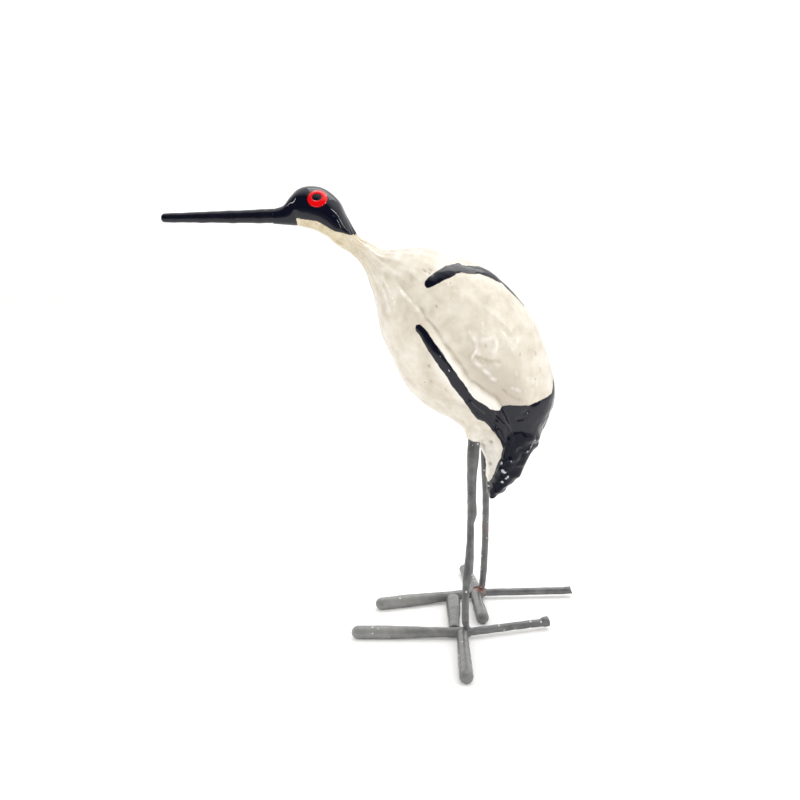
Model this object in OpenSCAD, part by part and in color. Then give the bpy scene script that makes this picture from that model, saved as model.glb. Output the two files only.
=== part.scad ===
// Painted avocet figurine: a hand-modelled body on welded wire legs, 190 mm tall.
// The bird looks along -X, its left side faces -Y, and it stands on the plane Z = 0.
// Sizes are in millimetres and angles in degrees.

/* [Body] */
// Height of the hip, where the left leg enters the belly
hip_height = 84; // [70:1:100]
// Breadth of the body across the wings
body_breadth = 52; // [44:1:60]
// Breadth of the neck at its thinnest
neck_breadth = 10; // [8:0.5:14]
// Breadth of the head
head_breadth = 16.5; // [13:0.5:20]
// How far the ledge under a wing stands out from the body
ledge_height = 1.6; // [0.8:0.2:2.4]
// How far the thick gloss paint stands out from the body
enamel_step = 0.3; // [0.2:0.1:0.6]

/* [Eye] */
// Outer diameter of the red ring
eye_d = 8.4; // [6:0.2:10]
// Width of the brush stroke that makes the ring
eye_stroke = 2.1; // [1.4:0.1:2.6]

/* [Bill] */
// Length of the bill from its blunt tip to its seat in the head
bill_length = 61.2; // [45:0.2:75]
// Diameter at the tip
bill_tip_d = 3.8; // [3:0.2:5]
// Diameter at the seat
bill_root_d = 6.8; // [6:0.2:7.4]
// Depth of the seat in the front of the head
bill_seat = 8.5; // [6:0.5:9]
// Rise of the bill from its tip to the head
bill_rise = 1; // [0:0.5:3]

/* [Legs] */
// Diameter of the bare steel wire
wire_d = 2.6; // [2:0.2:3.2]
// Depth to which each leg is let into the belly
leg_seat = 10; // [6:1:14]
// Radius of the bend at the ankle, at the middle of the wire
ankle_bend = 3.2; // [2.6:0.2:5]
// Diameter of the painted wire of the hind toes
hind_d = 3; // [2.6:0.1:3.4]
// Length of the left hind toe from the ankle
left_hind_length = 38.5; // [28:0.5:46]
// Length of the right hind toe from the ankle
right_hind_length = 43; // [32:0.5:50]

/* [Toes] */
// Diameter of a front toe's rod at its welded end
toe_root_d = 3.4; // [2.8:0.2:4.2]
// Diameter of the other toes' rods at their welded ends
cross_root_d = 4.4; // [3.4:0.2:4.8]
// Diameter of a toe rod at its rounded end, which is what stands on the floor
toe_tip_d = 5.8; // [5.2:0.2:7]
// Diameter of the thinner rounded end of the right outer toe
slim_tip_d = 5; // [4.2:0.2:5.4]
// Length of the left front toe from the ankle
left_front_length = 49; // [38:1:58]
// Length of the right front toe from the ankle
right_front_length = 51.5; // [40:0.5:60]
// Length of the left outer toe from the front toe
left_outer_length = 45; // [30:0.5:52]
// Length of the left inner toe from the front toe
left_inner_length = 38.5; // [30:0.5:38.5]
// Length of the right outer toe from the front toe
right_outer_length = 34; // [25:0.5:44]
// Length of the right inner toe from the front toe
right_inner_length = 30.5; // [25:0.5:34]
// Width of the lump of weld at each ankle
weld_d = 7.4; // [6.6:0.2:9]
// Height of the lump of weld, from its underside
weld_height = 4.8; // [4.6:0.2:6]

/* [Fit] */
// Gap between pieces that seat on each other
seat_gap = 0.05; // [0.02:0.01:0.1]
// Space left past the end of a leg in its hole
hole_end_gap = 1.2; // [1:0.1:2]

/* [Hidden] */

cream = [0.92, 0.89, 0.82];
enamel_black = [0.05, 0.05, 0.08];
eye_red = [0.86, 0.1, 0.08];
wire_grey = [0.47, 0.46, 0.45];

// Puts the middle of the whole bird's footprint at the origin
stand_at = [-0.7, 6.3];

// Cuts across the bird from the front of the head to the tip of the tail. Each row holds
// the point on the back and the point on the throat or belly, as X and height above the
// hip, and then half the breadth.
cuts = [
    [-38.5, 98, -38, 93, 0.16 * head_breadth],
    [-36, 102.5, -34.5, 91.5, 0.27 * head_breadth],
    [-32.5, 106, -30.5, 90.5, 0.41 * head_breadth],
    [-27.5, 107.5, -26.5, 89.5, 0.49 * head_breadth],
    [-21.5, 106.5, -21, 86.7, 0.5 * head_breadth],
    [-15.7, 101.7, -16, 82.5, 0.45 * head_breadth],
    [-12.5, 94.5, -12.5, 80.5, 0.37 * head_breadth],
    [-8.5, 87.5, -9, 78, 0.5 * neck_breadth],
    [-2.5, 84, -5.5, 73.5, 0.55 * neck_breadth],
    [3.5, 81, -2.5, 66.5, 0.75 * neck_breadth],
    [11, 81.5, 0, 57.5, 0.22 * body_breadth],
    [20, 82, 2, 46, 0.33 * body_breadth],
    [31.5, 79.5, 6.5, 35.5, 0.42 * body_breadth],
    [41, 76, 11.5, 24.5, 0.47 * body_breadth],
    [50, 71, 18.5, 16.5, 0.49 * body_breadth],
    [58.5, 63.5, 26.5, 11, 0.48 * body_breadth],
    [66.5, 53, 33, 7.5, 0.45 * body_breadth],
    [72.5, 40.5, 39, 2.5, 0.4 * body_breadth],
    [76, 27.5, 44, -3.5, 0.33 * body_breadth],
    [76.8, 17.5, 47, -8.5, 0.28 * body_breadth],
    [74.3, 8.5, 48.3, -13.5, 0.23 * body_breadth],
    [70.3, 0.5, 48.7, -18, 0.18 * body_breadth],
    [65.8, -9.5, 48.8, -21.8, 0.14 * body_breadth],
    [59, -20, 49, -25, 0.09 * body_breadth],
    [52.5, -26.6, 50, -28, 0.04 * body_breadth]
];
last_cut = len(cuts) - 1;
rings_per_cut = 2;
// Faces round one side of the body above and below the ledge
faces_over_wing = 9;
faces_under_wing = 6;
// Place of the groove at a wing's lower edge, as [cut, angle down from the back]
wing_edge = [
    [9, 76], [10, 81], [11, 87], [12, 92], [13, 94.5], [14.5, 102], [15.3, 108], [16.5, 103], [20, 101]
];
// Cuts between which the ledge under the wing runs, and over which it fades at each end
ledge_from = 9;
ledge_to = 20;
ledge_fade = 3;
// Angles over which the ledge rises from the groove, and falls to the flank again
ledge_rise = 7;
ledge_fall = 40;

// Outlines of the paint from the side, as X and height above the hip. The black cap:
cap_outline = [
    [-45, 85], [-34.6, 85], [-34.4, 93.3], [-31.5, 94.1], [-24.5, 93.8], [-19, 91],
    [-15, 88.8], [-12, 87.8], [-7, 87.2], [-7, 115], [-45, 115]
];
// The black wing tips and tail
tail_outline = [
    [44, 13.5], [48, 17], [60, 16.7], [70, 18.5], [75, 21], [85, 28],
    [85, -35], [46, -35], [50, -20.5], [53.5, -13], [54.5, -4], [52.5, 2]
];
// The stroke along a wing's edge, as [X, height, width]
edge_stroke = [
    [18, 51, 1.4], [21.5, 47.3, 2.6], [27.4, 38, 3], [36, 25, 3.2], [41, 19, 3.6], [51, 12, 6]
];
// The stripe over a shoulder, the same way
shoulder_stripe = [
    [21.5, 67.8, 3.2], [26, 72, 3.6], [34.5, 74.6, 3], [43, 72.8, 2.6], [51, 67.8, 2], [59, 61, 0.8]
];
eye_place = [-24.3, 102.4];
// The ring looks lower than wide from the side, where the head slopes away
eye_squash = 0.86;
// How far the ring stands out from the black cap
eye_lift = 0.15;
paint_reach = 80;

// Ankles on the floor and hips in the belly, as X and Y
left_ankle = [38.5, -24.5];
right_ankle = [48.5, 23.3];
left_hip = [41.8, -10];
right_hip = [47.5, 10];
// Turn of each foot, and the directions of its other toes from the line of the front toe
left_foot_turn = 0;
right_foot_turn = 17;
left_hind_angle = 17;
right_hind_angle = -14;
left_outer_angle = -91;
left_inner_angle = 88;
right_outer_angle = 81;
right_inner_angle = -104.5;
// Where a cross toe meets its front toe, measured from the ankle
left_outer_at = 1.8;
left_inner_at = 5;
right_outer_at = 1;
right_inner_at = 4;

// Bow and paint along each leg, as [share of the height, bow along X, thickness of paint]
left_leg_rows = [
    [0.2, -0.7, 0], [0.255, -0.5, 0], [0.262, -0.4, 0.65], [0.315, -0.2, 0.85],
    [0.39, 0.2, 0.65], [0.48, 0.2, 0.4], [0.57, 0, 0.2], [0.62, 0.5, 0.8],
    [0.73, -0.1, 0.65], [0.83, -0.3, 0.85], [0.92, -0.1, 1.4], [1, 0, 1.4]
];
right_leg_rows = [
    [0.2, 1.1, 0.15], [0.33, 1.4, 0.1], [0.49, 1.5, 0.15], [0.63, 1.4, 0.2],
    [0.75, 0.5, 0], [0.88, 0.1, 0], [1, 0, 0]
];
wire_faces = 12;
toe_faces = 14;
// Slant of the cut end of a hind toe
hind_cut = -0.4;

// A smooth curve through the rows p, counted from 0
function smooth_row(p, t) =
    let (i = min(max(floor(t), 0), len(p) - 2),
         f = t - i,
         a = p[max(i - 1, 0)],
         b = p[i],
         c = p[i + 1],
         d = p[min(i + 2, len(p) - 1)])
    0.5 * (2 * b + (c - a) * f + (2 * a - 5 * b + 4 * c - d) * f * f
           + (3 * b - a - 3 * c + d) * f * f * f);

function unit(v) = v / norm(v);
function ease(f) = let (g = min(max(f, 0), 1)) g * g * (3 - 2 * g);
// Value in column k of the rows p, whose first column rises
function column_at(p, t, k) = lookup(t, [for (row = p) [row[0], row[k]]]);

// How far the ledge under the wing stands out at cut t and angle a
function ledge_out(t, a) =
    let (below = a - column_at(wing_edge, t, 1))
    ledge_height * sin(a)
    * ease((t - ledge_from) / ledge_fade) * ease((ledge_to - t) / ledge_fade)
    * ease(below / ledge_rise) * ease((ledge_rise + ledge_fall - below) / ledge_fall);

// The body's skin at cut t and angle a: 0 is the back, 180 the belly. A negative angle is
// the right side.
function skin(t, a, lift = 0) =
    let (row = smooth_row(cuts, t),
         middle = [row[0] + row[2], row[1] + row[3]] / 2,
         half = [row[0] - row[2], row[1] - row[3]] / 2,
         out = lift + ledge_out(t, abs(a)),
         up = half * (1 + out / norm(half)) * cos(a))
    [middle[0] + up[0], -(row[4] + out) * sin(a), middle[1] + up[1] + hip_height];

// Joins closed rings of points into one solid with flat ends
module ring_solid(rings) {
    n = len(rings[0]);
    m = len(rings);
    polyhedron(
        [for (ring = rings) for (p = ring) p],
        concat(
            [[for (k = [n - 1:-1:0]) k]],
            [for (i = [0:m - 2]) for (k = [0:n - 1])
                let (a = i * n + k, b = i * n + (k + 1) % n) each [[a, b, b + n], [a, b + n, a + n]]],
            [[for (k = [0:n - 1]) (m - 1) * n + k]]
        )
    );
}

// The angles of one ring of the body, with a face of its own for the ledge
function ring_angles(t) =
    let (edge = column_at(wing_edge, t, 1),
         under = edge + ledge_rise,
         side = concat(
             [for (k = [0:faces_over_wing]) edge * k / faces_over_wing],
             [for (k = [0:faces_under_wing]) under + (180 - under) * k / faces_under_wing]))
    concat([for (k = [len(side) - 1:-1:1]) side[k]], [for (k = [0:len(side) - 2]) -side[k]]);

// One ring of the skin, moved along X by forward
function skin_ring(t, lift, forward = 0) =
    [for (a = ring_angles(t)) skin(t, a, lift) + [forward, 0, 0]];

// The body with its skin lifted by a coat of paint, which covers its two ends as well
module modelled_form(lift = 0) {
    last_ring = last_cut * rings_per_cut;
    ring_solid(concat(
        lift > 0 ? [skin_ring(0, lift, -lift)] : [],
        [for (i = [0:last_ring]) skin_ring(i / rings_per_cut, lift)],
        lift > 0 ? [[for (p = skin_ring(last_cut, lift)) p - [lift / 2, 0, lift]]] : []));
}

// Cuts a flat outline, drawn from the side, out of the lifted skin
module painted(lift) {
    intersection() {
        modelled_form(lift);
        translate([0, paint_reach / 2, hip_height]) rotate([90, 0, 0])
            linear_extrude(height = paint_reach) children();
    }
}

// A brush stroke through rows of [X, height, width]
module brush_line(rows) {
    for (i = [0:len(rows) - 2])
        hull()
            for (row = [rows[i], rows[i + 1]])
                translate([row[0], row[1]]) circle(d = row[2], $fn = 8);
}

module black_paint() {
    painted(enamel_step) {
        polygon(cap_outline);
        polygon(tail_outline);
        brush_line(edge_stroke);
        brush_line(shoulder_stripe);
    }
}

module eye_ring() {
    painted(enamel_step + eye_lift)
        translate(eye_place) scale([1, eye_squash]) difference() {
            circle(d = eye_d, $fn = 20);
            circle(d = eye_d - 2 * eye_stroke, $fn = 12);
        }
}

// A rod along the points of path, one diameter at each, whose faces turn about the level
// direction side, so that a level stretch lies on a flat face
function rod_rings(path, diameters, side, faces) =
    [for (i = [0:len(path) - 1])
        let (ahead = unit(path[min(i + 1, len(path) - 1)] - path[max(i - 1, 0)]),
             up = unit(cross(ahead, side)))
        [for (k = [0:faces - 1])
            let (a = (k + 0.5) * 360 / faces)
            path[i] + diameters[i] / 2 * (cos(a) * up + sin(a) * side)]];

// Height of a rod's middle when one of its faces lies on the floor
function lying(d, faces) = d / 2 * cos(180 / faces);

function level(angle) = [cos(angle), sin(angle), 0];

// All toes are welded with their middles at this height, so that the thick ends stand flat
toe_height = lying(toe_tip_d, toe_faces);

// A toe rod from its welded end to its thick rounded end
module toe(length, angle, root_d, tip_d) {
    tip_r = tip_d / 2;
    straight = length - tip_r;
    drop = lying(tip_d, toe_faces) - toe_height;
    rows = concat(
        [for (f = [0, 0.15, 0.35, 0.55, 0.8, 1])
            let (g = ease((f - 0.15) / 0.65))
            [straight * f, root_d + (tip_d - root_d) * g, toe_height + drop * g]],
        [for (a = [25, 50, 70, 85]) [straight + tip_r * sin(a), tip_d * cos(a), toe_height + drop]]);
    ring_solid(rod_rings(
        [for (row = rows) row[0] * level(angle) + [0, 0, row[2]]],
        [for (row = rows) row[1]],
        level(angle + 90), toe_faces));
}

// Distance of a cross toe's flat end from the middle of the front toe that it seats on
function seat_back(angle) = toe_root_d / 2 + cross_root_d / 2 * abs(cos(angle)) + seat_gap;

module at_left_foot() {
    translate([left_ankle[0], left_ankle[1], 0]) rotate(left_foot_turn) children();
}

module at_right_foot() {
    translate([right_ankle[0], right_ankle[1], 0]) rotate(right_foot_turn) children();
}

module front_toe(length) {
    start = wire_d / 2 + seat_gap;
    translate([-start, 0, 0]) toe(length - start, 180, toe_root_d, toe_tip_d);
}

module cross_toe(length, angle, at, tip_d = toe_tip_d) {
    away = sign(sin(angle)) * seat_back(angle);
    translate([-at, away, 0]) toe(length, angle, cross_root_d, tip_d);
}

// The middle of the wire at the ankle
function ankle_point(ankle) = [ankle[0], ankle[1], toe_height];

// The straight line from an ankle to its hip
function leg_line(ankle, hip) = [hip[0], hip[1], hip_height] - ankle_point(ankle);

// A leg from its seat in the belly down to the ankle and out along the hind toe, which is
// cut off at a slant
module leg(ankle, hip, rows, hind_angle, hind_length) {
    heading = level(hind_angle);
    foot = ankle_point(ankle);
    line = leg_line(ankle, hip);
    bend = [for (a = [0:22.5:90])
        foot + ankle_bend * (1 - cos(a)) * heading + [0, 0, ankle_bend * (1 - sin(a))]];
    shaft = [for (i = [len(rows) - 1:-1:0]) foot + line * rows[i][0] + [rows[i][1], 0, 0]];
    seat = foot + line * (1 + leg_seat / norm(line));
    path = concat([seat], shaft, bend,
                  [foot + heading * hind_length * 0.5, foot + heading * hind_length]);
    seat_d = wire_d + 2 * rows[len(rows) - 1][2];
    diameters = concat([seat_d], [for (i = [len(rows) - 1:-1:0]) wire_d + 2 * rows[i][2]],
                       [for (f = [0:0.25:1]) wire_d + (hind_d - wire_d) * f], [hind_d, hind_d]);
    rings = rod_rings(path, diameters, level(hind_angle + 90), wire_faces);
    last = len(rings) - 1;
    ring_solid([for (i = [0:last])
        i < last ? rings[i] : [for (p = rings[i]) p + heading * (p[2] - foot[2]) * hind_cut]]);
}

// The hole in the belly that takes a leg
module leg_socket(ankle, hip, rows) {
    line = leg_line(ankle, hip);
    translate(ankle_point(ankle) + line)
        rotate([0, acos(line[2] / norm(line)), atan2(line[1], line[0])])
            translate([0, 0, -leg_seat])
                cylinder(h = 2 * leg_seat + hole_end_gap,
                         d = wire_d + 2 * rows[len(rows) - 1][2] + 2 * seat_gap, $fn = 32);
}

// Places the bill's axis: +Z runs from the tip to the head
module along_bill() {
    seat = skin(0, 90);
    translate([seat[0] + bill_seat, 0, seat[2]]) rotate([0, 90 - bill_rise, 0]) children();
}

module bill_form(gap = 0) {
    tip_round = bill_tip_d * 0.35;
    rotate_extrude($fn = 48)
        polygon(concat(
            [[0, gap], [bill_root_d / 2 + gap, gap]],
            [for (a = [0:15:90])
                [bill_tip_d / 2 - tip_round * (1 - cos(a)) + gap,
                 -bill_length + tip_round * (1 - sin(a))]],
            [[0, -bill_length]]));
}

module body() {
    difference() {
        union() {
            color(cream) modelled_form();
            color(enamel_black) black_paint();
            color(eye_red) eye_ring();
        }
        along_bill() bill_form(seat_gap);
        leg_socket(left_ankle, left_hip, left_leg_rows);
        leg_socket(right_ankle, right_hip, right_leg_rows);
    }
}

module bill() {
    color(enamel_black) along_bill() bill_form();
}

module left_leg() {
    heading = left_foot_turn + left_hind_angle;
    color(wire_grey) leg(left_ankle, left_hip, left_leg_rows, heading, left_hind_length);
}

module right_leg() {
    heading = right_foot_turn + right_hind_angle;
    color(wire_grey) leg(right_ankle, right_hip, right_leg_rows, heading, right_hind_length);
}

module left_front_toe() {
    color(wire_grey) at_left_foot() front_toe(left_front_length);
}

module left_outer_toe() {
    color(wire_grey) at_left_foot() cross_toe(left_outer_length, left_outer_angle, left_outer_at);
}

module left_inner_toe() {
    color(wire_grey) at_left_foot() cross_toe(left_inner_length, left_inner_angle, left_inner_at);
}

module right_front_toe() {
    color(wire_grey) at_right_foot() front_toe(right_front_length);
}

module right_outer_toe() {
    color(wire_grey) at_right_foot()
        cross_toe(right_outer_length, right_outer_angle, right_outer_at, slim_tip_d);
}

module right_inner_toe() {
    color(wire_grey) at_right_foot() cross_toe(right_inner_length, right_inner_angle, right_inner_at);
}

// The lump of weld before the wires are taken out of it
module weld_lump() {
    translate([0, 0, toe_height - weld_height / 2]) hull() {
        translate([-1, 0, 0]) cylinder(h = weld_height * 0.5, d = weld_d, $fn = 12);
        translate([-0.6, 0, 0]) cylinder(h = weld_height, d = weld_d * 0.5, $fn = 12);
    }
}

module left_ankle_weld() {
    color(wire_grey) difference() {
        at_left_foot() weld_lump();
        left_leg();
        left_front_toe();
        left_outer_toe();
        left_inner_toe();
    }
}

module right_ankle_weld() {
    color(wire_grey) difference() {
        at_right_foot() weld_lump();
        right_leg();
        right_front_toe();
        right_outer_toe();
        right_inner_toe();
    }
}

module on_stand() {
    translate([stand_at[0], stand_at[1], 0]) children();
}

on_stand() body();
on_stand() bill();
on_stand() left_leg();
on_stand() right_leg();
on_stand() left_front_toe();
on_stand() left_outer_toe();
on_stand() left_inner_toe();
on_stand() right_front_toe();
on_stand() right_outer_toe();
on_stand() right_inner_toe();
on_stand() left_ankle_weld();
on_stand() right_ankle_weld();
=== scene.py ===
# The looks of a painted avocet figurine: a hand-modelled bird on legs and toes of steel wire.
# Sizes are in millimetres along the bird's own lines, where Y = 0 is its middle plane and Z = 0
# the floor. Each mesh is moved by bird_at and turned into metres as it is made.

import math

import bpy
import numpy as np
from mathutils import Matrix, Vector, noise


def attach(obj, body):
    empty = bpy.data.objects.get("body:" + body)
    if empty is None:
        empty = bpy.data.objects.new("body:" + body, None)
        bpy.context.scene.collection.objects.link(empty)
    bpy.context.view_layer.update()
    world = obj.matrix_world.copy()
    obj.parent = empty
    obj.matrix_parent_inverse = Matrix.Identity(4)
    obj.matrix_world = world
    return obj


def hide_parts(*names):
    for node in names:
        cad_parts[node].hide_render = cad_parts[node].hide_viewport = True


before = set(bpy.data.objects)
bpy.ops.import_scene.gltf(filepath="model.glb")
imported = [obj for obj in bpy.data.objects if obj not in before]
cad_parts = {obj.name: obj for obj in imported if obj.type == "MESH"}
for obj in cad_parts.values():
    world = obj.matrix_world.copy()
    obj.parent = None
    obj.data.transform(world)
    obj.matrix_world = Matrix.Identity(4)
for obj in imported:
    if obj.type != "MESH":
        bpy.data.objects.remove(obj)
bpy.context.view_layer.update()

# The camera looks at the bird's left side from a little above. Its place, its tilt and its lens
# were fitted to the photograph at the size of the part.
camera_at = (0.0093, -0.4651, 0.190)
camera_pitch = 10.8
camera_data = bpy.data.cameras.new("camera")
camera_data.sensor_width = 36
camera_data.lens = 49.5
camera = bpy.data.objects.new("camera", camera_data)
camera.location = camera_at
camera.rotation_euler = (math.radians(90 - camera_pitch), 0, 0)
bpy.context.scene.collection.objects.link(camera)
bpy.context.scene.camera = camera
bpy.context.scene.view_settings.view_transform = "Standard"

# The body. One lump of modelling compound, shaped with the fingers: an egg for the trunk, a thin
# neck, a small head drawn out over the root of the bill, and a ledge pressed up under each wing.
# It is brushed cream, the marks go on in thick black gloss, and all of it has a clear lacquer.
hip_height = 84
bird_at = np.array([-0.7, 6.3, 0.0])
# X and height above the hip on the back, the same on the throat and belly, and half the breadth
body_cuts = np.array([
    [-43.5, 97.7, -43.5, 92.5, 2.6],
    [-39.2, 99.2, -38.6, 92.0, 3.4],
    [-36.2, 102.7, -34.8, 91.6, 4.4],
    [-32.7, 106.1, -30.8, 90.6, 6.8],
    [-27.9, 107.3, -26.5, 89.5, 8.1],
    [-21.8, 106.1, -21.0, 86.7, 8.25],
    [-16.0, 101.3, -16.0, 82.5, 7.4],
    [-12.5, 94.5, -12.5, 80.5, 6.1],
    [-8.5, 87.5, -9.0, 78.0, 5.0],
    [-2.5, 84.0, -5.5, 73.5, 5.5],
    [3.5, 81.0, -2.5, 66.5, 7.5],
    [11.0, 81.5, 0.0, 57.5, 11.4],
    [20.0, 82.0, 2.0, 46.0, 17.2],
    [31.5, 79.5, 6.5, 35.5, 21.8],
    [41.0, 76.0, 11.5, 24.5, 24.4],
    [50.0, 71.0, 18.5, 16.5, 25.5],
    [58.5, 63.5, 26.5, 11.0, 25.0],
    [66.5, 53.0, 33.0, 7.5, 23.4],
    [72.5, 40.5, 39.0, 2.5, 20.8],
    [76.0, 27.5, 44.0, -3.5, 17.2],
    [76.8, 17.5, 47.0, -8.5, 14.6],
    [74.3, 8.5, 48.3, -13.5, 12.0],
    [70.3, 0.5, 48.7, -18.0, 9.4],
    [65.8, -9.5, 48.8, -21.8, 7.3],
    [59.0, -20.0, 49.0, -25.0, 4.7],
    [52.5, -26.6, 50.0, -28.0, 2.1],
])
rings_per_cut = 12
half_around = 140
# Round the body the points are set closer together near the groove
crowd_more = 2.2
crowd_below = 4
crowd_width = 13
# Lumps of the compound, as height on the head, more on the trunk, breadth and seed
compound_lumps = [(0.15, 0.35, 13, 3.1), (0.06, 0.14, 4.6, 8.4), (0.03, 0.04, 2.1, 5.7)]
neck_streaks = 0.5
tail_lumps = 0.7
# The groove at a wing's lower edge, as [cut, angle down from the back], and the ledge below it
groove = np.array([
    [9, 76], [10.15, 81], [11.1, 87], [12, 91.5], [12.9, 94], [13.7, 98], [14.5, 102],
    [15.2, 108], [15.95, 106], [16.6, 102], [17.1, 101], [20, 101],
])
groove_depth = 1.1
groove_wander = 1.6
ledge_height = 1.5
ledge_rise = 6
ledge_fall = 38
# The marks in thick gloss paint, seen from the side as X and height above the hip
cap_outline = np.array([
    [-50, 86], [-33.5, 86], [-33.3, 94.9], [-29.4, 94.3], [-25.6, 93.9], [-23.9, 93.4],
    [-21, 91.7], [-16.9, 89.4], [-13.4, 88.4], [-11.2, 87.6], [-8.8, 87.2], [-5, 86.8],
    [-5, 120], [-50, 120],
])
shoulder_outline = np.array([
    [19.8, 67.8], [20.2, 69.2], [22.9, 71.8], [28.7, 75.0], [34.3, 76.3], [36, 75.2],
    [43.3, 74.4], [46, 73.5], [53.5, 71.0], [59, 67.5], [63.5, 63.0], [66.5, 57.5],
    [64, 56.4], [60.5, 60.0], [57.5, 63.3], [53.2, 67.1], [48, 70.0], [42.5, 71.7],
    [35.8, 72.3], [33.2, 71.9], [30, 70.3], [25.3, 68.1], [22.3, 66.6], [20.8, 66.6],
])
wing_and_tail_outline = np.array([
    [17.6, 51.2], [18.6, 51.4], [20, 50.3], [22.5, 46.9], [25.1, 43.3], [27.9, 39.1],
    [30.3, 36], [32.5, 32.7], [34.5, 29.8], [37.5, 25.6], [39.8, 22.2], [42.5, 19.7],
    [45.8, 18], [48, 16.5], [51.7, 16.2], [53.2, 17.2], [56.2, 17.6], [60.7, 17.3],
    [64.4, 16.9], [67, 17.6], [70.2, 18.9], [73.2, 19.6], [74.8, 20.6], [75.6, 23],
    [75.9, 26.5], [76.4, 30.5], [90, 32], [90, -40], [43, -40], [46.5, -23],
    [49, -20.2], [51, -15.6], [52, -11.2], [53.4, -7.1], [54.1, -2.7], [52.9, 1.3],
    [50.7, 4.6], [48.3, 7.7], [45.8, 10.7], [43.1, 11.8], [40.9, 14.6], [38.5, 18.5],
    [36, 22.2], [32, 27.7], [29, 32.5], [26.6, 35.6], [24.2, 39.3], [21.9, 42.7],
    [19.6, 46.6], [17.4, 50],
])
stripe_gap = 3.5
eye_centre = (-24.3, 102.3)
eye_half = (3.95, 3.35)
pupil_centre = (-24.6, 102.9)
pupil_half = (2.0, 1.4)
paint_step = 0.45
paint_slope = 0.9
eye_step = 0.3
paint_wander = 0.3
# Marks of the fingers and of a tool, each as places [cut, angle] with a radius and a height
marks = [
    ([[14.2, 54], [14.6, 54], [15.0, 53], [15.5, 53]], 1.0, 0.4),
    ([[15.2, 62], [15.5, 62], [15.9, 62], [16.2, 60]], 0.8, 0.4),
    ([[14.65, 77], [14.98, 70], [15.28, 70], [15.3, 77]], 1.2, 0.8),
    ([[14.93, 78]], 1.1, -0.6),
    ([[14.83, 86]], 1.6, 0.7),
    ([[14.1, 78], [14.45, 80], [14.68, 84], [14.68, 91]], 1.1, 0.8),
    ([[14.7, 92], [15.15, 93], [15.6, 93], [16.0, 93]], 1.5, 0.6),
    ([[14.8, 89], [15.3, 86], [15.7, 80]], 1.1, -0.6),
    ([[13.0, 80], [13.8, 85]], 4.5, -0.6),
    ([[15.2, 99], [16.3, 98]], 3.5, -0.6),
    ([[15.6, 72], [16.4, 76]], 4.0, -0.5),
    ([[12.4, 66], [13.4, 60]], 5.0, 0.4),
    ([[16.8, 84], [17.15, 78]], 0.9, 0.6),
    ([[17.3, 74], [17.7, 68]], 0.8, 0.5),
    ([[17.0, 66], [17.5, 56]], 1.6, 0.4),
    ([[16.6, 92], [16.9, 90], [17.3, 85], [17.75, 74]], 0.7, -0.6),
    ([[10.95, 89], [11.3, 90], [11.65, 90], [12.2, 93]], 1.1, 0.6),
    ([[10.9, 62], [11.45, 66]], 1.2, 0.5),
    ([[9.7, 109], [10.3, 114], [10.85, 117]], 1.2, 0.5),
    ([[9.6, 97], [10.2, 100], [10.9, 103]], 1.1, 0.5),
    ([[9.2, 80], [9.9, 76], [10.5, 74]], 1.2, 0.5),
    ([[18.0, 85], [18.1, 77]], 0.6, -0.6),
    ([[18.05, 92], [18.3, 82]], 0.6, -0.6),
    ([[16.82, 112], [17.3, 112], [17.9, 107], [18.5, 109]], 0.9, -0.9),
    ([[15.8, 122], [16.0, 123], [16.7, 121], [17.2, 114]], 0.9, -0.6),
    ([[21.2, 24]], 3.0, 1.7),
    ([[22.2, 6], [22.8, 6]], 4.0, -1.3),
    ([[20.4, 50]], 2.4, 0.9),
    ([[19.5, 84], [19.9, 70]], 2.0, 1.0),
    ([[20.0, 92], [20.6, 80]], 1.4, -1.0),
    ([[20.1, 124]], 0.9, 0.7),
    ([[20.95, 115]], 1.0, 0.8),
    ([[21.75, 101]], 1.0, 0.7),
    ([[21.9, 112]], 0.9, 0.7),
    ([[20.1, 108]], 1.1, 0.8),
    ([[20.5, 66], [20.6, 75]], 1.1, 0.8),
    ([[21.3, 80], [21.6, 66]], 1.3, 0.8),
    ([[22.5, 95], [22.9, 110]], 1.2, 0.7),
    ([[22.3, 60]], 1.8, 0.8),
    ([[17.9, 144], [18.7, 152], [19.7, 154], [21.2, 165]], 0.9, 0.7),
    ([[18.0, 151], [18.8, 160], [19.8, 163]], 0.8, -0.6),
    ([[17.0, 140], [17.5, 150]], 2.4, 0.6),
    ([[12.6, 112]], 5.0, 0.4),
    ([[14.4, 132]], 5.0, 0.4),
    ([[15.6, 150]], 4.0, -0.4),
]
# A mark narrower than this also changes the colour: a painted highlight, white, on a ridge, and
# painted shade, brown, in a crease
broad_mark = 2.5
full_mark = 0.85
# Pinholes and two brown pits under the tail, as [cut, angle, radius]
pits = [
    [11.3, 54, 0.4], [11.43, 54, 0.45], [11.58, 54, 0.4], [11.6, 50, 0.45], [11.48, 50, 0.35],
    [16.23, 60, 0.5], [16.45, 48, 0.4], [16.75, 42, 0.4], [17.28, 44, 0.5], [13.43, 118, 0.6],
    [13.8, 128, 0.5], [14.53, 125, 0.4], [15.12, 28, 0.5], [12.43, 78, 0.4], [18.15, 136, 0.9],
    [19.73, 152, 0.9],
]
pit_depth = 0.5
# Painted highlights: pale spots in the thick black, as [X, height, radius]. They stand in for points
# of light
painted_glint_spots = [
    [54.1, -9.0, 0.45], [54.7, -12.0, 0.6], [55.4, -12.7, 0.6], [56.3, -14.9, 0.4],
    [55.7, -15.7, 0.45], [54.5, -17.3, 0.5], [49.2, -22.1, 0.35], [57.3, -6.6, 0.3],
    [65.2, -1.6, 0.35], [65.8, -0.7, 0.3], [63.5, -3.3, 0.3], [67.0, 1.2, 0.35], [66.8, 0.2, 0.3],
    [26.6, 39.6, 0.3], [30.6, 33.6, 0.4],
]
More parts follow.
